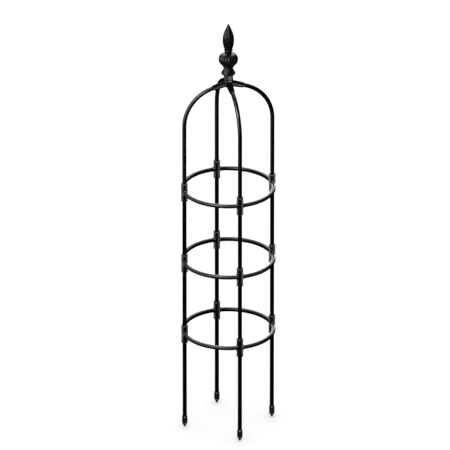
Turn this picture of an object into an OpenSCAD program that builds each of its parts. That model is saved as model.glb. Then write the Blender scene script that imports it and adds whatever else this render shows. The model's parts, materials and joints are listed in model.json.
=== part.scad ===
// Garden obelisk: four tube legs that arch together at the top, held in a round cage
// by three rings. Ring rods and leg tubes push into moulded four-way connectors, the
// arches push into a hub, a turned finial sits on the hub, and spikes close the feet.
// Millimetres. Z is up, the spike tips stand on Z = 0 and the cage is centred on the
// Z axis. The front leg stands on -Y and the right leg on +X.

/* [Cage] */
// Radius of the circle through the axes of the four legs, and of the ring rods
cage_r = 192.5; // [188:0.5:197]
// Height of the lowest ring
low_ring_z = 440; // [400:5:480]
// Distance from one ring up to the next
ring_pitch = 332; // [300:1:345]
// Height at which the legs start to bend inwards
bend_z = 1408; // [1370:1:1440]
// Radius of the bend at the tube's axis
bend_r = 170; // [165:1:172]
// Angle that each leg bends through before it enters the hub
bend_angle = 74; // [72:0.5:76]

/* [Tube] */
// Outer diameter of the leg tubes and the ring rods
tube_d = 18; // [17.5:0.5:18.5]
// Wall thickness of the tubes
tube_wall = 1; // [0.8:0.1:1.5]
// Diameter of the swaged end that an arch tube pushes into the hub
swage_d = 17.2; // [16.8:0.1:17.4]
// Gap all round between a tube and the socket that it pushes into
push_gap = 0.05; // [0.02:0.01:0.2]

/* [Connector] */
// Length of a connector along the leg
connector_h = 80; // [70:1:95]
// Diameter of a connector's body
connector_d = 28.8; // [27.6:0.2:29.4]
// Diameter of the collar at each end of a connector
collar_d = 30; // [29.6:0.2:31.6]
// Height of each collar
collar_h = 5; // [4:0.5:8]
// Diameter of the short side sockets that hold the ring rods
boss_d = 21.6; // [20.8:0.2:23]
// Distance that the side sockets reach from the leg's axis
boss_reach = 16.5; // [15.5:0.5:20]
// Distance from the leg's axis to the end of a ring rod
rod_stop = 4; // [3:0.5:6]
// Thickness of plastic between the ends of the two leg tubes
web_h = 22; // [21.5:0.5:25]

/* [Spike cap] */
// Outer diameter of the cap on each leg's foot
cap_d = 23.6; // [22:0.2:25]
// Height of the cap's round part
cap_h = 33; // [28:1:40]
// Height of the cap's point
point_h = 18; // [12:0.5:25]
// Diameter of the blunt end of the point
point_tip_d = 3; // [2:0.5:5]
// Thickness of the cap's floor under the tube
cap_floor = 4.5; // [3:0.5:8]

/* [Hub] */
// Diameter of the post that carries the finial
post_d = 39.4; // [38:0.2:40.4]
// Height of the post's top above the centre of the sloping sockets
post_top = 40.5; // [38:0.5:48]
// Diameter of the core that the sockets spring from
core_d = 42; // [41:0.5:44]
// Length of a sloping socket from the hub's axis
socket_len = 70; // [62:0.5:71]
// Diameter of a sloping socket at the core
socket_root_d = 30; // [27:0.5:31]
// Diameter of a sloping socket at its mouth
socket_mouth_d = 24; // [23:0.5:26]
// Distance from the hub's axis to the end of an arch tube
arch_stop = 30; // [28:0.5:34]

/* [Finial] */
// Radius of the rounded bead around the finial's foot
foot_bead_r = 3.6; // [3:0.1:4.5]
// Diameter of the finial's foot across that bead
foot_d = 60.6; // [57:0.2:63]
// Diameter of the lobed ball
ball_d = 82.8; // [78:0.2:86]
// Height of the ball from its foot up to its widest part
ball_low_h = 28.5; // [26:0.5:31]
// Height of the ball from its widest part up to its top
ball_high_h = 28; // [26:0.5:31]
// Diameter of the bud at its widest
bud_d = 50; // [46:0.2:53]
// Height of the bud
bud_h = 117; // [105:0.5:122]
// Diameter of the spigot that sits in the hub's post
spigot_d = 28; // [24:0.5:30]
// Length of that spigot
spigot_h = 26.5; // [24.5:0.5:27.5]

/* [Hidden] */
SIDES = ["right", "back", "left", "front"];
QUARTERS = ["back_right", "back_left", "front_left", "front_right"];
LEVELS = ["bottom", "middle", "top"];
LEG_PARTS = ["lower", "middle", "upper"];

$fn = 96;
TUBE_COLOR = "#16171a";
PLASTIC_COLOR = "#242427";
HUB_COLOR = "#3a3a3d";
FINIAL_COLOR = "#2b2a27";
STEEL_COLOR = "#b8bcc0";
BRASS_COLOR = "#b08d4a";

tube_r = tube_d / 2;
swage_r = swage_d / 2;
socket_r = tube_r + push_gap;
ring_z = [for (i = [0 : 2]) low_ring_z + i * ring_pitch];
// Length of rod inside a side socket is measured along the ring, so it is an angle there
deg_per_mm = 180 / (PI * cage_r);

// Where the arches' axes meet, on the hub's axis
arch_end_r = cage_r - bend_r * (1 - cos(bend_angle));
hub_z = bend_z + bend_r * sin(bend_angle) + arch_end_r / tan(bend_angle);
arch_slope_len = arch_end_r / sin(bend_angle);
post_top_z = hub_z + post_top;
post_floor_z = post_top_z - spigot_h - 0.5;

// Each leg tube's foot and head, from the spike cap up to the top connector
leg_spans = [
    [point_h + cap_floor, ring_z[0] - web_h / 2],
    [ring_z[0] + web_h / 2, ring_z[1] - web_h / 2],
    [ring_z[1] + web_h / 2, ring_z[2] - web_h / 2]
];

// M6 fixing that holds the finial down from under the hub
screw_d = 6;
screw_len = 30;
screw_head_d = 11.5;
screw_head_h = 4;
screw_slot_w = 1.6;
screw_slot_len = 6.5;
screw_slot_depth = 2.2;
washer_d = 12.4;
washer_h = 1.6;
washer_hole_d = 6.4;
insert_d = 9;
insert_h = 13;
counterbore_d = 15;
counterbore_top_z = post_floor_z - 17;
core_bottom_z = hub_z - 17;
screw_seat_z = counterbore_top_z - washer_h;

// Points of a circular arc in the profile plane, from angle a0 to a1
function arc(cx, cy, r, a0, a1, steps = 10) =
    [for (i = [0 : steps]) let (a = a0 + (a1 - a0) * i / steps) [cx + r * cos(a), cy + r * sin(a)]];

// Places its children on the leg of side i, with X pointing outwards
module on_side(i) rotate([0, 0, 90 * i]) children();

// Solid piece of a ring between two angles about the cage's axis
module ring_piece(r, from_deg, to_deg)
    rotate_extrude(angle = to_deg - from_deg, start = from_deg) translate([cage_r, 0]) circle(r);

// Straight tube standing on z0
module straight_tube(z0, z1)
    translate([0, 0, z0]) difference() {
        cylinder(h = z1 - z0, r = tube_r);
        translate([0, 0, -1]) cylinder(h = z1 - z0 + 2, r = tube_r - tube_wall);
    }

module leg_tube(span)
    color(TUBE_COLOR) translate([cage_r, 0, 0]) straight_tube(span[0], span[1]);

// Places its children on a sloping socket's axis, starting at the hub's axis
module on_slope() translate([0, 0, hub_z]) rotate([0, 180 - bend_angle, 0]) children();

// Solid bar along an arch: up the leg from z0, round the bend, and down to the hub with
// the swaged end's radius, ending stop_len short of the hub's axis
module arch_bar(r, end_r, z0, stop_len) {
    lap = 0.5;
    translate([cage_r, 0, z0]) cylinder(h = bend_z - z0, r = r);
    translate([cage_r - bend_r, 0, bend_z]) rotate([90, 0, 0])
        rotate_extrude(angle = bend_angle) translate([bend_r, 0]) circle(r);
    on_slope() translate([0, 0, stop_len]) cylinder(h = arch_slope_len - stop_len + lap, r = end_r);
}

// Leg tube from the top connector round the bend and into the hub's sloping socket
module arch_tube() color(TUBE_COLOR)
    difference() {
        arch_bar(tube_r, swage_r, ring_z[2] + web_h / 2, arch_stop);
        arch_bar(tube_r - tube_wall, swage_r - tube_wall, ring_z[2] + web_h / 2 - 1, arch_stop - 1);
    }

// Quarter of a ring, from the stop in one connector to the stop in the next
module ring_rod() color(TUBE_COLOR)
    difference() {
        ring_piece(tube_r, rod_stop * deg_per_mm, 90 - rod_stop * deg_per_mm);
        ring_piece(tube_r - tube_wall, 0, 90);
    }

// Outline of a connector's body: a plain barrel with a collar at each end
module connector_outline() {
    half = connector_h / 2;
    body_r = connector_d / 2;
    collar_r = collar_d / 2;
    top_round = 0.8;
    foot_round = 2.4;
    polygon(concat(
        [[0, -half]],
        arc(collar_r - foot_round, -half + foot_round, foot_round, -90, 0),
        [[collar_r, -half + collar_h], [body_r, -half + collar_h + 1.5]],
        [[body_r, half - collar_h - 1.5], [collar_r, half - collar_h]],
        arc(collar_r - top_round, half - top_round, top_round, 0, 90),
        [[0, half]]
    ));
}

// Four-way connector: blind sockets above and below for the leg tubes, and one on each
// side for the ring rods, whose sockets follow the curve of the ring
module connector() color(PLASTIC_COLOR)
    difference() {
        union() {
            translate([cage_r, 0, 0]) rotate_extrude() connector_outline();
            ring_piece(boss_d / 2, -boss_reach * deg_per_mm, boss_reach * deg_per_mm);
        }
        for (s = [-1, 1]) {
            ends = [s * rod_stop, s * (boss_reach + 1)] * deg_per_mm;
            ring_piece(socket_r, min(ends), max(ends));
        }
        translate([cage_r, 0, web_h / 2]) cylinder(h = connector_h, r = socket_r);
        translate([cage_r, 0, -web_h / 2 - connector_h]) cylinder(h = connector_h, r = socket_r);
    }

// Pointed cap that closes the foot of a leg and goes into the soil
module spike_cap() color(PLASTIC_COLOR)
    translate([cage_r, 0, 0]) difference() {
        union() {
            cylinder(h = point_h, r1 = point_tip_d / 2, r2 = cap_d / 2);
            translate([0, 0, point_h]) cylinder(h = cap_h, r = cap_d / 2);
        }
        translate([0, 0, point_h + cap_floor]) cylinder(h = cap_h, r = socket_r);
    }

// Outline of the hub's core and post
module hub_outline() {
    core_r = core_d / 2;
    post_r = post_d / 2;
    core_round = 6;
    core_top_z = hub_z + 17;
    top_round = 1;
    polygon(concat(
        [[0, core_bottom_z]],
        arc(core_r - core_round, core_bottom_z + core_round, core_round, -90, 0),
        [[core_r, core_top_z - 3], [core_r - 1, core_top_z - 1], [post_r, core_top_z]],
        arc(post_r - top_round, post_top_z - top_round, top_round, 0, 90, 5),
        [[0, post_top_z]]
    ));
}

// Hub at the crown: four sloping sockets for the arches and a post for the finial
module top_hub() color(HUB_COLOR)
    difference() {
        union() {
            rotate_extrude() hub_outline();
            for (i = [0 : 3]) on_side(i) on_slope()
                cylinder(h = socket_len, d1 = socket_root_d, d2 = socket_mouth_d);
        }
        for (i = [0 : 3]) on_side(i) on_slope()
            translate([0, 0, arch_stop]) cylinder(h = socket_len, r = swage_r + push_gap);
        translate([0, 0, post_floor_z]) cylinder(h = spigot_h + 5, d = spigot_d + 4 * push_gap);
        translate([0, 0, core_bottom_z - 1]) cylinder(h = post_floor_z, d = screw_d + 0.6);
        translate([0, 0, core_bottom_z - 1])
            cylinder(h = counterbore_top_z - core_bottom_z + 1, d = counterbore_d);
    }

// Radius of the ball at height h above its widest part: an oval with full shoulders
function ball_r(h) = ball_d / 2 * pow(1 - pow(h / (h < 0 ? ball_low_h : ball_high_h), 2), 0.32);

// Radius of the bud at height h: it swells from its foot and then closes in a long
// curve, which the rounded tip cuts short
bud_foot_r = 15.8;
bud_belly_h = 0.357 * bud_h;
bud_curve_h = 1.043 * bud_h;
function bud_r(h) = h < bud_belly_h
    ? bud_foot_r + (bud_d / 2 - bud_foot_r) * sin(90 * h / bud_belly_h)
    : bud_d / 2 * pow(cos(90 * (h - bud_belly_h) / (bud_curve_h - bud_belly_h)), 1.1);

// Outline of the finial above its seat on the post, from the foot to the tip
module finial_outline() {
    foot_r = foot_d / 2;
    skirt_r = foot_r - foot_bead_r + 2.5;
    neck_r = 16.8;
    collar_r = 24;
    collar_z = 33.4;
    ball_z = collar_z + 6.6;
    ball_mid_z = ball_z + ball_low_h - 1;
    upper_z = ball_mid_z + ball_high_h - 2;
    upper_neck_r = 14.2;
    bead_z = upper_z + 15.3;
    bead_r = 3.6;
    bud_z = bead_z + bead_r;
    polygon(concat(
        [[0, 0]],
        arc(foot_r - foot_bead_r, foot_bead_r, foot_bead_r, -90, 70),
        [for (t = [0.1 : 0.15 : 1]) [neck_r + (skirt_r - neck_r) * pow(1 - t, 1.3),
            2 * foot_bead_r + (collar_z - 2 * foot_bead_r) * t]],
        [[collar_r - 1.2, collar_z], [collar_r, collar_z + 1.2]],
        [[collar_r, ball_z - 1.2], [collar_r - 1.2, ball_z]],
        [for (t = [-0.93 : 0.155 : 0]) [ball_r(t * ball_low_h), ball_mid_z + t * ball_low_h]],
        [for (t = [0.14 : 0.14 : 0.84]) [ball_r(t * ball_high_h), ball_mid_z + t * ball_high_h]],
        [[ball_r(0.92 * ball_high_h), ball_mid_z + 0.92 * ball_high_h]],
        [[upper_neck_r, upper_z + 0.5], [upper_neck_r, bead_z - bead_r]],
        arc(14.8, bead_z, bead_r, -70, 70, 6),
        [for (s = [0.02 : 0.05 : 0.97]) [bud_r(s * bud_h), bud_z + s * bud_h]],
        [[bud_r(0.99 * bud_h), bud_z + 0.99 * bud_h], [0, bud_z + bud_h]]
    ));
}

// Finial with its spigot, drilled for the threaded insert
module finial() color(FINIAL_COLOR)
    difference() {
        union() {
            translate([0, 0, post_top_z]) rotate_extrude() finial_outline();
            translate([0, 0, post_top_z - spigot_h]) cylinder(h = spigot_h + 1, d = spigot_d);
        }
        translate([0, 0, post_top_z - spigot_h - 1]) cylinder(h = insert_h + 1.5, d = insert_d);
    }

// Brass insert pressed into the finial's spigot
module finial_insert() color(BRASS_COLOR)
    translate([0, 0, post_top_z - spigot_h]) difference() {
        cylinder(h = insert_h, d = insert_d);
        translate([0, 0, -1]) cylinder(h = insert_h + 2, d = screw_d + 0.1);
    }

// Pan-head screw that goes up through the hub into the insert
module finial_screw() color(STEEL_COLOR)
    translate([0, 0, screw_seat_z]) {
        cylinder(h = screw_len, d = screw_d);
        difference() {
            translate([0, 0, -screw_head_h]) cylinder(h = screw_head_h, d1 = screw_head_d - 2, d2 = screw_head_d);
            for (turn = [0, 90]) rotate([0, 0, turn])
                translate([-screw_slot_len / 2, -screw_slot_w / 2, -screw_head_h - 1])
                    cube([screw_slot_len, screw_slot_w, screw_slot_depth + 1]);
        }
    }

// Washer between the screw's head and the hub
module finial_washer() color(STEEL_COLOR)
    translate([0, 0, screw_seat_z]) difference() {
        cylinder(h = washer_h, d = washer_d);
        translate([0, 0, -1]) cylinder(h = washer_h + 2, d = washer_hole_d);
    }

finial();
finial_insert();
finial_screw();
finial_washer();
top_hub();
for (i = [0 : 3]) {
    on_side(i) arch_tube();
    on_side(i) spike_cap();
    for (j = [0 : 2]) {
        on_side(i) leg_tube(leg_spans[j]);
        on_side(i) translate([0, 0, ring_z[j]]) connector();
        on_side(i) translate([0, 0, ring_z[j]]) ring_rod();
    }
}
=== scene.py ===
"""Garden obelisk: camera, studio and the finished surface of every piece.

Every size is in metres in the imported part's own frame. Z is up, the spike tips stand on
Z = 0, the front leg is on -Y and the right leg on +X.
"""

import json
import math

import bpy
import numpy as np
from mathutils import Matrix, Vector

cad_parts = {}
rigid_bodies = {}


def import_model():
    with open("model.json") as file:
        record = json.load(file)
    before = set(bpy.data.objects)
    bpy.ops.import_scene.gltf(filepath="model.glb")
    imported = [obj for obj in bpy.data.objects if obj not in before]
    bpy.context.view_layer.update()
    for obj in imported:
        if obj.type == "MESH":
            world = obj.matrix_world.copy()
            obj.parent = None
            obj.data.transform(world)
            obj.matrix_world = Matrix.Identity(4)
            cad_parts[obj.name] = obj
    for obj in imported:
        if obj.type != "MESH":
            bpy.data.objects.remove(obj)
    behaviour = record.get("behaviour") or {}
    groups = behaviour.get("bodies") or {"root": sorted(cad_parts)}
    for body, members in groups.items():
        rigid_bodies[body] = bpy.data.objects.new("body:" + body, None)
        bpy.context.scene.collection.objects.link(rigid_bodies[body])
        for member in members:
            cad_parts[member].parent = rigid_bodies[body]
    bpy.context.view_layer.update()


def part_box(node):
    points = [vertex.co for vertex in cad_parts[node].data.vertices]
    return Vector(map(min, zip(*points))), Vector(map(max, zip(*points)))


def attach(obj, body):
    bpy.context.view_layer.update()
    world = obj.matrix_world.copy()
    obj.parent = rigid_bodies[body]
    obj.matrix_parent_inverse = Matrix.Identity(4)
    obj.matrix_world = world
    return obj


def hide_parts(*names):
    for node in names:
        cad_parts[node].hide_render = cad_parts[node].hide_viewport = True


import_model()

# --------------------------------------------------------------------------- sizes

MM = 0.001
SIDES = ["right", "back", "left", "front"]
QUARTERS = ["back_right", "back_left", "front_left", "front_right"]
LEVELS = ["bottom", "middle", "top"]
LEG_PARTS = ["lower", "middle", "upper"]
PUSH_GAP = 0.05 * MM

# The right leg stands on the X axis, so its boxes give the cage's own sizes
leg_low, leg_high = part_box("right_lower_leg_tube")
CAGE_R = (leg_low.x + leg_high.x) / 2
TUBE_R = (leg_high.x - leg_low.x) / 2
TUBE_WALL = 1.0 * MM
SOCKET_R = TUBE_R + PUSH_GAP
RING_Z = [sum(c.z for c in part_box(f"{level}_ring_front_right_rod")) / 2 for level in LEVELS]
ROD_STOP = 4.0 * MM

# Connectors: a barrel with a collar at each end, and a short socket on each side
connector_low, connector_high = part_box("right_top_connector")
CONNECTOR_HALF = (connector_high.z - connector_low.z) / 2
COLLAR_R = connector_high.x - CAGE_R
CONNECTOR_R = COLLAR_R - 0.6 * MM
COLLAR_H = 5 * MM
BOSS_R = 10.8 * MM
BOSS_REACH = 16.5 * MM
WEB_HALF = 11 * MM

# Spike caps: a round cap over a blunt point
cap_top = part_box("right_spike_cap")[1]
CAP_R = cap_top.x - CAGE_R
CAP_TOP = cap_top.z
POINT_H = 18 * MM
POINT_TIP_R = 1.5 * MM
CAP_FLOOR_Z = leg_low.z

# The hub: a core and a post, with four sockets that slope down to the arches. Each socket
# is slimmer than its taper on both sides of its belly, by SOCKET_SWELL at its mouth
POST_TOP = 40.5 * MM
HUB_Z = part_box("top_hub")[1].z - POST_TOP
POST_R = 19.7 * MM
CORE_R = 21 * MM
CORE_HALF = 17 * MM
CORE_BOWL_TOP = 10 * MM
CORE_BOWL_ROUND = 6 * MM
SOCKET_LEN = 70 * MM
SOCKET_ROOT_R = 15 * MM
SOCKET_MOUTH_R = 12 * MM
SOCKET_BELLY = 0.6
SOCKET_SWELL = 1.1 * MM
SPIGOT_R = 14 * MM
SPIGOT_H = 26.5 * MM
POST_FLOOR = POST_TOP - SPIGOT_H - 0.5 * MM
COUNTERBORE_TOP = POST_FLOOR - 17 * MM
COUNTERBORE_R = 7.5 * MM
SCREW_HOLE_R = 3.3 * MM
INSERT_R = 4.5 * MM
INSERT_HOLE_H = 13.5 * MM

# The arches: a vertical stretch, a bend, and a swaged end that slopes into the hub
BEND_R = 170 * MM
BEND_ANGLE = math.radians(74)
ARCH_STOP = 30 * MM
SWAGE_R = 8.6 * MM
ARCH_END_R = CAGE_R - BEND_R * (1 - math.cos(BEND_ANGLE))
BEND_Z = HUB_Z - ARCH_END_R / math.tan(BEND_ANGLE) - BEND_R * math.sin(BEND_ANGLE)


def about_z(side):
    """Turns a piece made on the right leg, on +X, round to the given side."""
    return Matrix.Rotation(math.radians(90) * side, 4, "Z")


# --------------------------------------------------------------------------- mesh tools


def add_piece(name, verts, quads, node, material, place=Matrix.Identity(4)):
    """A closed, smooth-shaded mesh that rides on the frame and stands for a CAD node."""
    mesh = bpy.data.meshes.new(name)
    mesh.from_pydata([tuple(v) for v in verts], [], [tuple(q) for q in quads])
    mesh.transform(place)
    mesh.polygons.foreach_set("use_smooth", [True] * len(mesh.polygons))
    mesh.materials.append(material)
    mesh.validate()
    mesh.update()
    piece = bpy.data.objects.new(name, mesh)
    bpy.context.scene.collection.objects.link(piece)
    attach(piece, "root")
    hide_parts(node)


def loft(rings):
    """Joins equal rings of points with quads, and the last ring to the first."""
    count, around = rings.shape[:2]
    quads = []
    for i in range(count):
        low, high = i * around, (i + 1) % count * around
        for j in range(around):
            k = (j + 1) % around
            quads.append((low + j, low + k, high + k, high + j))
    return rings.reshape(-1, 3), quads


def turned(profile, around, ripple=None):
    """A turned shape from (radius, height) points that start and end on the axis.
    ripple(angle, radius, height) is what comes off the radius where the shape is ribbed."""
    angle = np.linspace(0, 2 * np.pi, around, endpoint=False)
    verts, rows = [], []
    for radius, height in profile:
        if radius < 1e-7:
            rows.append([len(verts)])
            verts.append((0.0, 0.0, height))
            continue
        r = radius - (ripple(angle, radius, height) if ripple else 0 * angle)
        rows.append(list(range(len(verts), len(verts) + around)))
        verts.extend(zip(r * np.cos(angle), r * np.sin(angle), np.full(around, height)))
    faces = []
    for low, high in zip(rows, rows[1:]):
        for j in range(around):
            k = (j + 1) % around
            face = [low[j % len(low)], low[k % len(low)], high[k % len(high)], high[j % len(high)]]
            faces.append(tuple(dict.fromkeys(face)))
    return np.array(verts), faces


def swept_tube(centres, ups, outer, inner, around=40):
    """A hollow tube: centres and side directions along its line, outer and inner radii at
    each centre. Its ends are open, so the bore is a real one."""
    centres, ups = np.array(centres), np.array(ups)
    along = np.gradient(centres, axis=0)
    along /= np.linalg.norm(along, axis=1, keepdims=True)
    across = np.cross(along, ups)
    angle = np.linspace(0, 2 * np.pi, around, endpoint=False)
    spokes = (ups[:, None] * np.cos(angle)[None, :, None]
              + across[:, None] * np.sin(angle)[None, :, None])
    outside = centres[:, None] + spokes * np.array(outer)[:, None, None]
    inside = centres[:, None] + spokes * np.array(inner)[:, None, None]
    return loft(np.concatenate([outside, inside[::-1]]))


def surface_net(distance, low, high, step):
    """Quads over the surface where distance(x, y, z) is zero, on a grid of the given step.
    Its points are then moved onto the surface itself."""
    axes = [np.arange(a - 2 * step, b + 3 * step, step) for a, b in zip(low, high)]
    value = distance(*np.meshgrid(*axes, indexing="ij"))
    inside = value < 0
    cells = tuple(n - 1 for n in value.shape)
    corners = [(i, j, k) for i in (0, 1) for j in (0, 1) for k in (0, 1)]

    def at(field, offset):
        return field[tuple(slice(o, o + n) for o, n in zip(offset, cells))]

    filled = sum(at(inside, c).astype(np.int8) for c in corners)
    active = (filled > 0) & (filled < 8)
    number = np.full(cells, -1)
    number[active] = np.arange(active.sum())
    total, hits = np.zeros((active.sum(), 3)), np.zeros((active.sum(), 1))
    for a in corners:
        for axis in range(3):
            if a[axis]:
                continue
            b = tuple(v + (i == axis) for i, v in enumerate(a))
            va, vb = at(value, a)[active], at(value, b)[active]
            crosses = ((va < 0) != (vb < 0))[:, None]
            share = (va / np.where(va == vb, 1, va - vb))[:, None]
            total += np.where(crosses, np.array(a) + share * np.eye(3)[axis], 0)
            hits += crosses
    origin = np.array([a[0] for a in axes])
    verts = origin + (np.argwhere(active) + total / hits) * step

    quads = []
    for axis in range(3):
        u, v = (axis + 1) % 3, (axis + 2) % 3
        here = tuple(slice(0, n - 1) if i == axis else slice(1, n - 1) for i, n in enumerate(value.shape))
        there = tuple(slice(s.start + 1, s.stop + 1) if i == axis else s for i, s in enumerate(here))
        rising = inside[here] != inside[there]
        spots = np.argwhere(rising) + [s.start for s in here]
        outward = inside[here][rising]
        du, dv = np.eye(3, dtype=int)[u], np.eye(3, dtype=int)[v]
        ring = [spots - du - dv, spots - dv, spots, spots - du]
        ids = np.stack([number[tuple(r.T)] for r in ring], axis=1)
        ids[~outward] = ids[~outward][:, ::-1]
        quads.append(ids)
    for _ in range(4):
        d = distance(*verts.T)
        e = step * 0.05
        slope = np.stack([distance(*(verts + e * n).T) - distance(*(verts - e * n).T) for n in np.eye(3)], 1)
        slope /= 2 * e
        move = (d / np.maximum((slope ** 2).sum(1), 0.25))[:, None] * slope
        verts = verts - np.clip(move, -0.4 * step, 0.4 * step)
    return verts, np.concatenate(quads)


def blend_union(a, b, width):
    """Joins two distances with a fillet about as wide as width."""
    h = np.clip(0.5 + 0.5 * (b - a) / width, 0, 1)
    return b * (1 - h) + a * h - width * h * (1 - h)


def blend_cut(a, b, width):
    """Cuts b out of a and rounds the edge that is left."""
    return -blend_union(-a, b, width)


def drum(radius, z, r, z0, z1, rounding):
    """Distance to a round drum of radius r between two heights, with rounded edges."""
    dr = radius - r + rounding
    dz = np.abs(z - (z0 + z1) / 2) - (z1 - z0) / 2 + rounding
    outside = np.hypot(np.maximum(dr, 0), np.maximum(dz, 0))
    return outside + np.minimum(np.maximum(dr, dz), 0) - rounding


# --------------------------------------------------------------------------- materials


class Nodes:
    """Builds one material's node tree."""

    def __init__(self, name):
        self.material = bpy.data.materials.new(name)
        self.material.use_nodes = True
        self.tree = self.material.node_tree
        self.shader = self.tree.nodes["Principled BSDF"]
        self.coords = self.tree.nodes.new("ShaderNodeTexCoord").outputs["Object"]

    def set(self, **values):
        for key, value in values.items():
            self.shader.inputs[key.replace("_", " ")].default_value = value

    def link(self, source, target):
        self.tree.links.new(source, target)

    def noise(self, scale, detail=4.0, roughness=0.55, stretch=(1, 1, 1)):
        mapping = self.tree.nodes.new("ShaderNodeMapping")
        mapping.inputs["Scale"].default_value = stretch
        self.link(self.coords, mapping.inputs["Vector"])
        noise = self.tree.nodes.new("ShaderNodeTexNoise")
        noise.inputs["Scale"].default_value = scale
        noise.inputs["Detail"].default_value = detail
        noise.inputs["Roughness"].default_value = roughness
        self.link(mapping.outputs["Vector"], noise.inputs["Vector"])
        return noise.outputs["Fac"]

    def ramp(self, source, low, high, start=0.0, end=1.0):
        """Maps source from start..end to low..high, and clamps it."""
        node = self.tree.nodes.new("ShaderNodeMapRange")
        node.clamp = True
        for key, value in zip(("From Min", "From Max", "To Min", "To Max"), (start, end, low, high)):
            node.inputs[key].default_value = value
        self.link(source, node.inputs["Value"])
        return node.outputs["Result"]

    def math(self, operation, a, b):
        node = self.tree.nodes.new("ShaderNodeMath")
        node.operation = operation
        for socket, value in zip(node.inputs, (a, b)):
            if isinstance(value, (int, float)):
                socket.default_value = value
            else:
                self.link(value, socket)
        return node.outputs["Value"]

    def edges(self, start, end):
        """1 on sharp outer edges and ridges, 0 elsewhere."""
        geometry = self.tree.nodes.new("ShaderNodeNewGeometry")
        return self.ramp(geometry.outputs["Pointiness"], 0.0, 1.0, start, end)

    def colour(self, share, low, high):
        mix = self.tree.nodes.new("ShaderNodeMix")
        mix.data_type = "RGBA"
        mix.inputs["A"].default_value = (*low, 1)
        mix.inputs["B"].default_value = (*high, 1)
        self.link(share, mix.inputs["Factor"])
        self.link(mix.outputs["Result"], self.shader.inputs["Base Color"])

    def relief(self, height, distance, strength=1.0):
        bump = self.tree.nodes.new("ShaderNodeBump")
        bump.inputs["Strength"].default_value = strength
        bump.inputs["Distance"].default_value = distance
        self.link(height, bump.inputs["Height"])
        self.link(bump.outputs["Normal"], self.shader.inputs["Normal"])


def coated_steel():
    """Black powder coat: a fine orange-peel skin, a few dull patches and rubbed streaks."""
    n = Nodes("black_powder_coat")
    peel = n.noise(420, 2.0, 0.5)
    patches = n.noise(26, 5.0, 0.6)
    streaks = n.noise(90, 3.0, 0.6, stretch=(1, 1, 0.12))
    n.colour(n.ramp(patches, 0.0, 1.0, 0.35, 0.75), (0.0004, 0.0004, 0.0004), (0.0016, 0.0016, 0.0016))
    worn = n.math("MULTIPLY", n.ramp(patches, 0.0, 0.10, 0.4, 0.75), n.ramp(streaks, 0.2, 1.0, 0.4, 0.65))
    n.link(n.math("ADD", n.ramp(streaks, 0.27, 0.36, 0.35, 0.65), worn), n.shader.inputs["Roughness"])
    n.relief(peel, 0.00012, 0.35)
    n.set(IOR=1.5)
    return n.material


def moulded_plastic(name, dark, light, rough, grain=0.5, dust=0.0):
    """Satin black plastic: a fine moulded grain, pale rubbing along the edges, a film of dust."""
    n = Nodes(name)
    skin = n.noise(900, 3.0, 0.6)
    cloud = n.noise(45, 4.0, 0.6)
    rubbed = n.math("MULTIPLY", n.edges(0.52, 0.60), n.ramp(cloud, 0.25, 1.0, 0.35, 0.65))
    n.colour(n.math("MAXIMUM", rubbed, n.ramp(cloud, 0.0, 0.3, 0.4, 0.8)), dark, light)
    n.link(n.ramp(cloud, rough - 0.05, rough + 0.07, 0.3, 0.7), n.shader.inputs["Roughness"])
    n.relief(skin, 0.00006, grain)
    n.set(IOR=1.49, Sheen_Weight=dust, Sheen_Roughness=0.3)
    return n.material


def finial_plastic():
    """Black-brown resin: painted shade darkens its grooves, and its ribs are lighter, partly dust and partly
    a painted highlight.
    """
    n = Nodes("finial_resin")
    skin = n.noise(700, 3.0, 0.6)
    cloud = n.noise(60, 5.0, 0.6)
    # Ribs picked out by pointiness get a lighter colour, partly dust and partly a painted highlight; the
    # darker rest is painted shade in the grooves
    rib_dust_and_painted_highlight = n.math("MULTIPLY", n.edges(0.47, 0.56), n.ramp(cloud, 0.35, 1.0, 0.3, 0.7))
    n.colour(rib_dust_and_painted_highlight, (0.0014, 0.0013, 0.0012), (0.012, 0.0115, 0.0100))
    n.link(n.ramp(cloud, 0.22, 0.34, 0.3, 0.7), n.shader.inputs["Roughness"])
    n.relief(skin, 0.00008, 0.6)
    n.set(IOR=1.5)
    return n.material


def bare_metal(name, dark, light, rough):
    """Plated or turned metal with fine round scratches."""
    n = Nodes(name)
    scratches = n.noise(1500, 3.0, 0.6, stretch=(1, 1, 6))
    stain = n.noise(120, 4.0, 0.6)
    n.colour(n.ramp(stain, 0.0, 1.0, 0.35, 0.7), dark, light)
    n.link(n.ramp(scratches, rough, rough + 0.15, 0.3, 0.7), n.shader.inputs["Roughness"])
    n.relief(scratches, 0.00002, 0.5)
    n.set(Metallic=1.0)
    return n.material


COAT = coated_steel()
CONNECTOR_PLASTIC = moulded_plastic("connector_plastic", (0.0002, 0.0002, 0.0002), (0.004, 0.004, 0.004),
                                    0.26, dust=0.2)
HUB_PLASTIC = moulded_plastic("hub_plastic", (0.0012, 0.0012, 0.0013), (0.008, 0.008, 0.008), 0.22, 0.25)
SPIKE_PLASTIC = moulded_plastic("spike_plastic", (0.0008, 0.0008, 0.0008), (0.004, 0.004, 0.004),
                                0.24, dust=0.1)
FINIAL_PLASTIC = finial_plastic()
ZINC = bare_metal("zinc_plate", (0.50, 0.51, 0.53), (0.66, 0.67, 0.69), 0.24)
BRASS = bare_metal("turned_brass", (0.60, 0.42, 0.18), (0.74, 0.55, 0.27), 0.22)

# --------------------------------------------------------------------------- tubes

END_ROUND = 0.3 * MM


def tube_radii(stations, r, wall):
    """Outer and inner radii at each distance along a tube, its cut ends lightly rounded."""
    ends = np.minimum(stations - stations[0], stations[-1] - stations)
    softened = END_ROUND * np.clip(1 - ends / END_ROUND, 0, 1) ** 2
    return r - softened, r - wall + 0 * stations


def with_soft_ends(start, stop, count):
    """Stations from start to stop, with extra ones close to both ends."""
    close = np.array([0, 0.15, 0.5, 1.0]) * END_ROUND
    return np.concatenate([start + close, np.linspace(start, stop, count)[1:-1], (stop - close)[::-1]])


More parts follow.
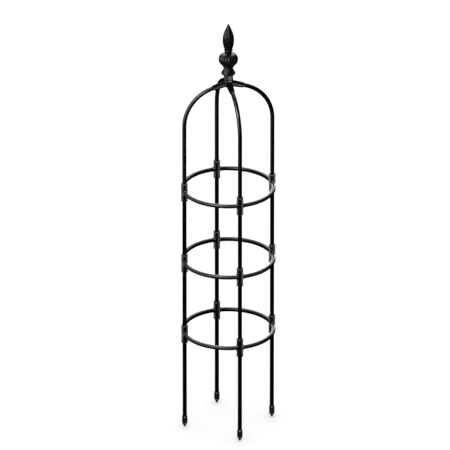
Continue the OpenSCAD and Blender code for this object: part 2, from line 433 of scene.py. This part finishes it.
def leg_tube(side, part):
    node = f"{SIDES[side]}_{part}_leg_tube"
    low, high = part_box(node)
    z = with_soft_ends(low.z, high.z, 12)
    centres = [(CAGE_R, 0, height) for height in z]
    outer, inner = tube_radii(z, TUBE_R, TUBE_WALL)
    verts, quads = swept_tube(centres, [(1, 0, 0)] * len(z), outer, inner)
    add_piece(f"{node}_coated", verts, quads, node, COAT, about_z(side))


def ring_rod(level, quarter):
    node = f"{LEVELS[level]}_ring_{QUARTERS[quarter]}_rod"
    arc = with_soft_ends(ROD_STOP, CAGE_R * math.pi / 2 - ROD_STOP, 64)
    angle = arc / CAGE_R
    centres = np.stack([CAGE_R * np.cos(angle), CAGE_R * np.sin(angle), 0 * angle + RING_Z[level]], 1)
    outer, inner = tube_radii(arc, TUBE_R, TUBE_WALL)
    verts, quads = swept_tube(centres, [(0, 0, 1)] * len(arc), outer, inner)
    add_piece(f"{node}_coated", verts, quads, node, COAT, about_z(quarter))


def arch_tube(side):
    """Up from the top connector, round the bend, and necked down into the hub's socket."""
    node = f"{SIDES[side]}_arch_tube"
    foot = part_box(node)[0].z
    rise = np.concatenate([foot + END_ROUND * np.array([0, 0.3, 1]), np.linspace(foot, BEND_Z, 14)[1:-1]])
    turn = np.linspace(0, BEND_ANGLE, 56)
    neck = 1.8 * MM
    slope = np.concatenate([np.linspace(0, neck, 5)[1:],
                            np.linspace(neck, ARCH_END_R / math.sin(BEND_ANGLE) - ARCH_STOP, 8)[1:]])
    centres = np.concatenate([
        [(CAGE_R, 0, z) for z in rise],
        [(CAGE_R - BEND_R * (1 - math.cos(a)), 0, BEND_Z + BEND_R * math.sin(a)) for a in turn],
        [(ARCH_END_R - s * math.sin(BEND_ANGLE), 0,
          BEND_Z + BEND_R * math.sin(BEND_ANGLE) + s * math.cos(BEND_ANGLE)) for s in slope],
    ])
    along = np.gradient(centres, axis=0)
    along /= np.linalg.norm(along, axis=1, keepdims=True)
    necked = np.concatenate([np.zeros(len(rise) + len(turn)), np.clip(slope / neck, 0, 1)])
    outer = TUBE_R - (TUBE_R - SWAGE_R) * necked ** 2 * (3 - 2 * necked)
    outer[:3] -= END_ROUND * np.array([1, 0.3, 0])
    inner = np.full(len(outer), SWAGE_R - TUBE_WALL)
    verts, quads = swept_tube(centres, np.cross([0, 1, 0], along), outer, inner)
    add_piece(f"{node}_coated", verts, quads, node, COAT, about_z(side))


# --------------------------------------------------------------------------- connectors


def connector_distance(x, y, z):
    """Barrel, collars and side sockets about a leg's axis, with every socket left open."""
    radius = np.hypot(x, y)
    top = drum(radius, z, COLLAR_R, CONNECTOR_HALF - COLLAR_H, CONNECTOR_HALF, 1.6 * MM)
    foot = drum(radius, z, COLLAR_R, -CONNECTOR_HALF, COLLAR_H - CONNECTOR_HALF, 2.0 * MM)
    barrel = drum(radius, z, CONNECTOR_R, 1 * MM - CONNECTOR_HALF, CONNECTOR_HALF - 1 * MM, 0.5 * MM)
    solid = blend_union(barrel, np.minimum(top, foot), 0.5 * MM)
    off_ring = np.hypot(np.hypot(x + CAGE_R, y) - CAGE_R, z)
    along_ring = np.abs(np.arctan2(y, x + CAGE_R)) * CAGE_R
    boss = drum(off_ring, along_ring, BOSS_R, -BOSS_REACH, BOSS_REACH, 0.7 * MM)
    solid = blend_union(solid, boss, 2.0 * MM)
    beyond = 2 * CONNECTOR_HALF
    solid = blend_cut(solid, drum(radius, np.abs(z), SOCKET_R, WEB_HALF, beyond, 0), 0.7 * MM)
    return blend_cut(solid, drum(off_ring, along_ring, SOCKET_R, ROD_STOP, beyond, 0), 0.7 * MM)


def connectors():
    reach = BOSS_REACH + 1 * MM
    half = COLLAR_R + 0.5 * MM
    verts, quads = surface_net(connector_distance, (-half, -reach, -CONNECTOR_HALF),
                               (half, reach, CONNECTOR_HALF), 0.8 * MM)
    for side in range(4):
        for level in range(3):
            node = f"{SIDES[side]}_{LEVELS[level]}_connector"
            place = about_z(side) @ Matrix.Translation((CAGE_R, 0, RING_Z[level]))
            add_piece(f"{node}_moulded", verts, quads, node, CONNECTOR_PLASTIC, place)


# --------------------------------------------------------------------------- hub


def hub_distance(x, y, z):
    """Core, post and sloping sockets about the point where the arches' axes meet."""
    radius = np.hypot(x, y)
    core = np.minimum(drum(radius, z, CORE_R, -CORE_HALF, CORE_BOWL_TOP, CORE_BOWL_ROUND),
                      drum(radius, z, CORE_R, -2 * MM, CORE_HALF, 1.6 * MM))
    post = drum(radius, z, POST_R, 0, POST_TOP, 0.8 * MM)
    solid = np.minimum(core, post)
    bores = np.full(x.shape, 1.0)
    for u, v in ((x, y), (y, -x), (-x, -y), (-y, x)):
        along = u * math.sin(BEND_ANGLE) - z * math.cos(BEND_ANGLE)
        above = u * math.cos(BEND_ANGLE) + z * math.sin(BEND_ANGLE)
        off = np.hypot(above, v)
        taper = SOCKET_ROOT_R + (SOCKET_MOUTH_R - SOCKET_ROOT_R) * along / SOCKET_LEN
        taper -= SOCKET_SWELL * ((along / SOCKET_LEN - SOCKET_BELLY) / (1 - SOCKET_BELLY)) ** 2
        socket = drum(off + SOCKET_ROOT_R - taper, along, SOCKET_ROOT_R, 0, SOCKET_LEN, 1.0 * MM)
        solid = blend_union(solid, socket, 3.5 * MM)
        bores = np.minimum(bores, drum(off, along, SWAGE_R + PUSH_GAP, ARCH_STOP, 2 * SOCKET_LEN, 0))
    beyond = 2 * POST_TOP
    bores = np.minimum(bores, drum(radius, z, SPIGOT_R + 2 * PUSH_GAP, POST_FLOOR, beyond, 0))
    bores = np.minimum(bores, drum(radius, z, COUNTERBORE_R, -beyond, COUNTERBORE_TOP, 0))
    bores = np.minimum(bores, drum(radius, z, SCREW_HOLE_R, -beyond, beyond, 0))
    return blend_cut(solid, bores, 0.6 * MM)


def top_hub():
    reach = SOCKET_LEN * math.sin(BEND_ANGLE) + SOCKET_MOUTH_R * math.cos(BEND_ANGLE)
    low = -SOCKET_LEN * math.cos(BEND_ANGLE) - SOCKET_MOUTH_R
    verts, quads = surface_net(hub_distance, (-reach, -reach, low), (reach, reach, POST_TOP), 1.0 * MM)
    add_piece("top_hub_moulded", verts, quads, "top_hub", HUB_PLASTIC,
              Matrix.Translation((0, 0, HUB_Z)))


# --------------------------------------------------------------------------- spike caps


def round_corner(cx, cy, r, start, stop, steps=6):
    """Points of an arc in a turned outline, between two angles in degrees."""
    return [(cx + r * math.cos(math.radians(a)), cy + r * math.sin(math.radians(a)))
            for a in np.linspace(start, stop, steps)]


def spike_caps():
    """Blunt point, rounded shoulder and a rounded lip about the socket for the leg."""
    shoulder = 1.2 * MM
    lip = 1.6 * MM
    lean = math.degrees(math.atan2(POINT_H, CAP_R - POINT_TIP_R)) - 90
    profile = [(0, 0), (POINT_TIP_R * 0.6, 0.05 * MM), (POINT_TIP_R, 0.5 * MM)]
    profile += [(POINT_TIP_R + (CAP_R - POINT_TIP_R) * t, POINT_H * t) for t in (0.2, 0.4, 0.6, 0.8, 0.9)]
    profile += round_corner(CAP_R - shoulder, POINT_H + shoulder * 0.3, shoulder, lean + 45, 0)[1:]
    profile += [(CAP_R, POINT_H + (CAP_TOP - POINT_H) * t) for t in (0.25, 0.5, 0.75)]
    profile += round_corner(CAP_R - lip, CAP_TOP - lip, lip, 0, 90)
    profile += round_corner(SOCKET_R + 0.5 * MM, CAP_TOP - 0.5 * MM, 0.5 * MM, 90, 180, 4)
    profile += [(SOCKET_R, CAP_FLOOR_Z + 0.3 * MM), (SOCKET_R - 0.3 * MM, CAP_FLOOR_Z), (0, CAP_FLOOR_Z)]
    verts, faces = turned(profile, 72)
    for side in range(4):
        node = f"{SIDES[side]}_spike_cap"
        place = about_z(side) @ Matrix.Translation((CAGE_R, 0, 0))
        add_piece(f"{node}_moulded", verts, faces, node, SPIKE_PLASTIC, place)


# --------------------------------------------------------------------------- finial

FOOT_R = 30.3 * MM
FOOT_BEAD_R = 3.6 * MM
NECK_R = 16.8 * MM
FINIAL_COLLAR_R = 24 * MM
FINIAL_COLLAR_ROUND = 1.4 * MM
COLLAR_BASE = 33.4 * MM
BALL_BASE = COLLAR_BASE + 6.6 * MM
BALL_R = 41.4 * MM
BALL_LOW = 28.5 * MM
BALL_HIGH = 28 * MM
BALL_MID = BALL_BASE + BALL_LOW - 1 * MM
BALL_TOP = BALL_MID + BALL_HIGH - 2 * MM
UPPER_NECK_R = 14.2 * MM
BEAD_R = 3.6 * MM
BEAD_RING_R = 14.8 * MM
BEAD_Z = BALL_TOP + 15.3 * MM
BUD_BASE = BEAD_Z + BEAD_R
BUD_R = 25 * MM
BUD_FOOT_R = 15.8 * MM
BUD_H = 117 * MM
BUD_BELLY_H = 0.357 * BUD_H
BUD_CURVE_H = 1.043 * BUD_H
BUD_TIP_R = 4.2 * MM
BUD_RIBS = 12
BALL_LOBES = 16
SKIRT_RIDGES = 24
BUD_GROOVE = 2.3 * MM
BALL_GROOVE = 2.9 * MM
SKIRT_GROOVE = 0.9 * MM


def ball_radius(t):
    """t runs from -1 at the ball's foot through 0 at its widest part to 1 at its top."""
    return BALL_R * (1 - t * t) ** 0.32


def ball_height(t):
    return BALL_MID + t * (BALL_LOW if t < 0 else BALL_HIGH)


def bud_radius(h):
    if h < BUD_BELLY_H:
        return BUD_FOOT_R + (BUD_R - BUD_FOOT_R) * math.sin(math.pi / 2 * h / BUD_BELLY_H)
    return BUD_R * math.cos(math.pi / 2 * (h - BUD_BELLY_H) / (BUD_CURVE_H - BUD_BELLY_H)) ** 1.1


def finial_profile():
    """From the bottom of the spigot's screw hole, out over the foot, and up to the tip."""
    points = [(0, INSERT_HOLE_H - SPIGOT_H), (INSERT_R, INSERT_HOLE_H - SPIGOT_H), (INSERT_R, -SPIGOT_H)]
    points += [(SPIGOT_R - 0.5 * MM, -SPIGOT_H), (SPIGOT_R, 0.5 * MM - SPIGOT_H), (SPIGOT_R, -0.2 * MM)]
    points += [(SPIGOT_R + 0.3 * MM, 0), (FOOT_R - FOOT_BEAD_R, 0)]
    points += round_corner(FOOT_R - FOOT_BEAD_R, FOOT_BEAD_R, FOOT_BEAD_R, -80, 75, 22)
    skirt_r = FOOT_R - FOOT_BEAD_R + 2.5 * MM
    for t in np.linspace(0.04, 0.97, 22):
        points.append((NECK_R + (skirt_r - NECK_R) * (1 - t) ** 1.3,
                       2 * FOOT_BEAD_R + (COLLAR_BASE - 2 * FOOT_BEAD_R) * t))
    points += [(NECK_R + 0.4 * MM, COLLAR_BASE)]
    collar_edge_r = FINIAL_COLLAR_R - FINIAL_COLLAR_ROUND
    points += round_corner(collar_edge_r, COLLAR_BASE + FINIAL_COLLAR_ROUND, FINIAL_COLLAR_ROUND, -90, 0, 6)
    points += round_corner(collar_edge_r, BALL_BASE - FINIAL_COLLAR_ROUND, FINIAL_COLLAR_ROUND, 0, 60, 5)
    for t in np.sin(np.radians(np.linspace(-71, 66, 54))):
        points.append((ball_radius(t), ball_height(t)))
    points += [(UPPER_NECK_R + 4 * MM, BALL_TOP + 0.5 * MM), (UPPER_NECK_R + 1.2 * MM, BALL_TOP + 1.5 * MM)]
    points += [(UPPER_NECK_R, BALL_TOP + 3.4 * MM), (UPPER_NECK_R, BEAD_Z - BEAD_R)]
    points += round_corner(BEAD_RING_R, BEAD_Z, BEAD_R, -66, 66, 14)
    for h in np.linspace(0.015 * BUD_H, BUD_H - 1.6 * BUD_TIP_R, 72):
        points.append((bud_radius(h), BUD_BASE + h))
    tip_z = BUD_BASE + BUD_H - BUD_TIP_R
    points += round_corner(0, tip_z, BUD_TIP_R, 8, 90, 8)[:-1]
    points += [(0, BUD_BASE + BUD_H)]
    return points


def finial_ripple(angle, radius, height):
    """Depth of the grooves between the bud's ribs, the ball's lobes and the skirt's ridges.
    Each rib is a low arch, and its crest is on the turned outline."""
    def arches(count, turn, sharpness):
        return np.abs(2 * np.mod(count * (angle - turn) / (2 * np.pi) + 0.5, 1) - 1) ** sharpness

    if BUD_BASE < height:
        t = (height - BUD_BASE) / BUD_H
        fade = min(1, t / 0.12) * min(1, (1 - t) / 0.10)
        return BUD_GROOVE * (radius / BUD_R) * fade * arches(BUD_RIBS, math.radians(-90), 1.7)
    if BALL_BASE < height < BALL_TOP:
        t = (height - BALL_MID) / (BALL_LOW if height < BALL_MID else BALL_HIGH)
        return BALL_GROOVE * min(1, (1 - abs(t)) / 0.16) * arches(BALL_LOBES, math.radians(-97), 1.8)
    if 2 * FOOT_BEAD_R < height < COLLAR_BASE:
        t = (height - 2 * FOOT_BEAD_R) / (COLLAR_BASE - 2 * FOOT_BEAD_R)
        return SKIRT_GROOVE * math.sin(math.pi * t) * arches(SKIRT_RIDGES, math.radians(-90), 1.6)
    return 0 * angle


def finial():
    verts, faces = turned(finial_profile(), 384, finial_ripple)
    add_piece("finial_moulded", verts, faces, "finial", FINIAL_PLASTIC,
              Matrix.Translation((0, 0, HUB_Z + POST_TOP)))


for side in range(4):
    arch_tube(side)
    for part in LEG_PARTS:
        leg_tube(side, part)
for level in range(3):
    for quarter in range(4):
        ring_rod(level, quarter)
connectors()
top_hub()
spike_caps()
finial()

# The fixing inside the hub keeps its CAD shape
for node, metal in (("finial_screw", ZINC), ("finial_washer", ZINC), ("finial_insert", BRASS)):
    for slot in bpy.data.objects[node].material_slots:
        slot.material = metal

# --------------------------------------------------------------------------- studio

# The camera looks down at the obelisk from its front left, through a very long lens
VIEW_AZIMUTH = math.radians(-14.76)
VIEW_ELEVATION = math.radians(25)
FIELD = 1.910
LENS = 900
AIM_Z = 0.9277
AIM_LEFT = 0.0142


def aim(obj, target):
    obj.rotation_euler = (target - obj.location).to_track_quat("-Z", "Y").to_euler()


def add_camera():
    data = bpy.data.cameras.new("camera")
    data.lens = LENS
    data.sensor_width = 36
    data.clip_start = 1
    data.clip_end = 400
    camera = bpy.data.objects.new("camera", data)
    bpy.context.scene.collection.objects.link(camera)
    right = Vector((math.cos(VIEW_AZIMUTH), math.sin(VIEW_AZIMUTH), 0))
    target = Vector((0, 0, AIM_Z)) - right * AIM_LEFT
    back = Vector((math.sin(VIEW_AZIMUTH) * math.cos(VIEW_ELEVATION),
                   -math.cos(VIEW_AZIMUTH) * math.cos(VIEW_ELEVATION), math.sin(VIEW_ELEVATION)))
    camera.location = target + back * FIELD * LENS / data.sensor_width
    aim(camera, target)
    bpy.context.scene.camera = camera


def add_card(name, turn, distance, z, aim_z, size, radiance, seen_by):
    """A soft card that stands round the obelisk at an angle from the camera's side, positive to
    the camera's right. Only the pieces whose names start with seen_by are lit by it."""
    data = bpy.data.lights.new(name, "AREA")
    data.shape = "RECTANGLE"
    data.size, data.size_y = size
    data.energy = radiance * math.pi * size[0] * size[1]
    light = bpy.data.objects.new(name, data)
    bpy.context.scene.collection.objects.link(light)
    angle = VIEW_AZIMUTH + math.radians(turn)
    light.location = (distance * math.sin(angle), -distance * math.cos(angle), z)
    light.visible_camera = False
    aim(light, Vector((0, 0, aim_z)))
    group = bpy.data.collections.new(f"{name}_lights")
    for piece in bpy.data.objects:
        if piece.type == "MESH" and piece.name.startswith(seen_by):
            group.objects.link(piece)
    light.light_linking.receiver_collection = group


def add_floor():
    """A wide white sweep. The object's gloss doesn't pick it up, as in a cut-out shot."""
    half = 40.0
    mesh = bpy.data.meshes.new("floor")
    corners = [(-half, -half, 0), (half, -half, 0), (half, half, 0), (-half, half, 0)]
    mesh.from_pydata(corners, [], [(0, 1, 2, 3)])
    n = Nodes("white_floor")
    n.set(Base_Color=(0.85, 0.85, 0.85, 1), Roughness=0.9, Specular_IOR_Level=0.1)
    mesh.materials.append(n.material)
    floor = bpy.data.objects.new("floor", mesh)
    bpy.context.scene.collection.objects.link(floor)
    floor.visible_glossy = False


def add_studio():
    scene = bpy.context.scene
    scene.view_settings.view_transform = "Standard"
    world = bpy.data.worlds.new("studio")
    world.use_nodes = True
    background = world.node_tree.nodes["Background"]
    background.inputs["Color"].default_value = (1, 1, 1, 1)
    background.inputs["Strength"].default_value = 1.3
    world.cycles_visibility.glossy = False
    scene.world = world
    add_floor()
    sides = tuple(f"{side}_" for side in SIDES)
    rods = tuple(f"{level}_ring" for level in LEVELS)
    front_rods = tuple(f"{level}_ring_front" for level in LEVELS)
    joints = tuple(f"{side}_{level}_connector" for side in SIDES for level in LEVELS)
    caps = tuple(f"{side}_spike_cap" for side in SIDES)
    arches = tuple(f"{side}_arch_tube" for side in SIDES)
    add_card("back_card", 181, 2.7, 3.6, 1.2, (4.5, 3.6), 3.0, sides + rods + ("finial",))
    add_card("key_card", -30, 2.3, 3.6, 1.2, (1.2, 1.2), 20.0, sides + rods)
    add_card("left_rod_card", -100, 2.4, 1.6, 0.8, (2.2, 2.2), 1.3, front_rods)
    add_card("front_left_rod_card", -50, 2.4, 1.6, 0.8, (2.2, 2.2), 1.3, front_rods)
    add_card("front_rod_card", 0, 2.4, 1.6, 0.8, (2.2, 2.2), 1.3, front_rods)
    add_card("right_rod_card", 60, 2.4, 1.6, 0.8, (2.2, 2.2), 0.5, front_rods)
    add_card("rod_top_card", 180, 1.3, 3.2, 0.8, (2.6, 1.9), 2.5, front_rods)
    add_card("horizon_card", 185, 3.2, 1.1, 1.1, (4.5, 2.2), 5.0, front_rods)
    add_card("left_edge_card", -98, 0.75, 0.52, 0.52, (1.6, 1.0), 1.5, joints)
    add_card("right_edge_card", 98, 0.75, 0.52, 0.52, (1.6, 1.0), 1.5, joints)
    add_card("lip_card", 0, 0.4, 3.2, 0.8, (1.8, 1.8), 20.0, joints)
    add_card("cap_lip_card", 0, 1.5, 2.0, 0.0, (2.4, 2.6), 28.0, caps)
    add_card("socket_card", 27, 2.0, 2.35, 1.58, (0.9, 1.2), 2.4, ("top_hub",))
    add_card("hub_back_card", 190, 2.0, 4.0, 1.58, (1.6, 1.2), 1.5, ("top_hub",))
    add_card("post_card", 39, 0.6, 1.335, 1.60, (1.4, 0.28), 3.3, ("top_hub",))
    add_card("left_arch_card", -60, 2.0, 2.1, 1.5, (1.6, 2.2), 5.0, arches)
    add_card("low_arch_card", -60, 2.0, 0.75, 1.3, (1.6, 0.5), 0.7, arches)
    add_card("post_side_card", -75, 0.6, 1.335, 1.60, (0.9, 0.28), 1.4, ("top_hub",))
    add_card("finial_card", -55, 1.3, 2.3, 1.75, (1.1, 1.5), 3.2, ("finial",))


add_camera()
add_studio()
